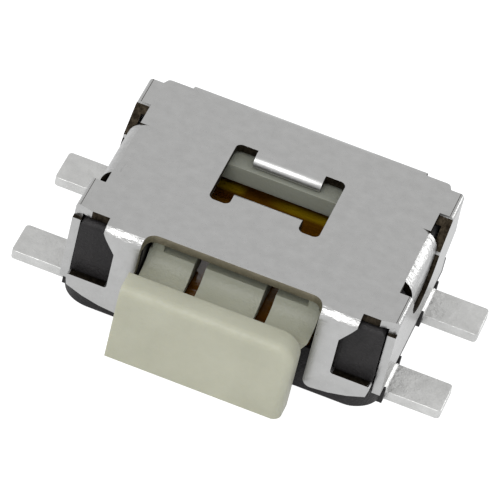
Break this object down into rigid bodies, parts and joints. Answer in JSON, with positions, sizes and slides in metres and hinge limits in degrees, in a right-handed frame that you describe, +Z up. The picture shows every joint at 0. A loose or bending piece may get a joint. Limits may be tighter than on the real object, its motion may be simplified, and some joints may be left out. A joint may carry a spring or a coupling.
{
  "type": "side-push tactile switch",
  "caption": "Low side-push surface-mount tactile switch with a folded steel cover, a sliding push button and flat side terminals.",
  "frame": {"origin": "centre of the terminal pattern on the board, on the underside of the base", "axes": "+X across the switch, along its length; the button points to -Y and is pushed towards +Y; +Z up from the board"},
  "size_m": [0.0062, 0.0041, 0.0016],
  "materials": {
    "cover_steel": "satin, faintly mottled",
    "base_plastic": "matte moulded",
    "button_plastic": "satin moulded, ivory",
    "amber_film": "glossy thin film",
    "dome_steel": "bright",
    "plated_contact": "silver plated, satin"
  },
  "bodies": {
    "housing": {"base": "base_plastic", "cover": "cover_steel", "centre_contact": "plated_contact", "rim_contact": "plated_contact", "film": "amber_film", "snap_dome": "dome_steel"},
    "button": {"button": "button_plastic"}
  },
  "joints": [
    {"name": "button_push", "type": "slide", "parent": "housing", "child": "button", "axis": [0, 1, 0], "range_m": [0, 0.0002], "stiffness_N_per_m": 8000, "deforming": ["snap_dome", "film"]}
  ]
}
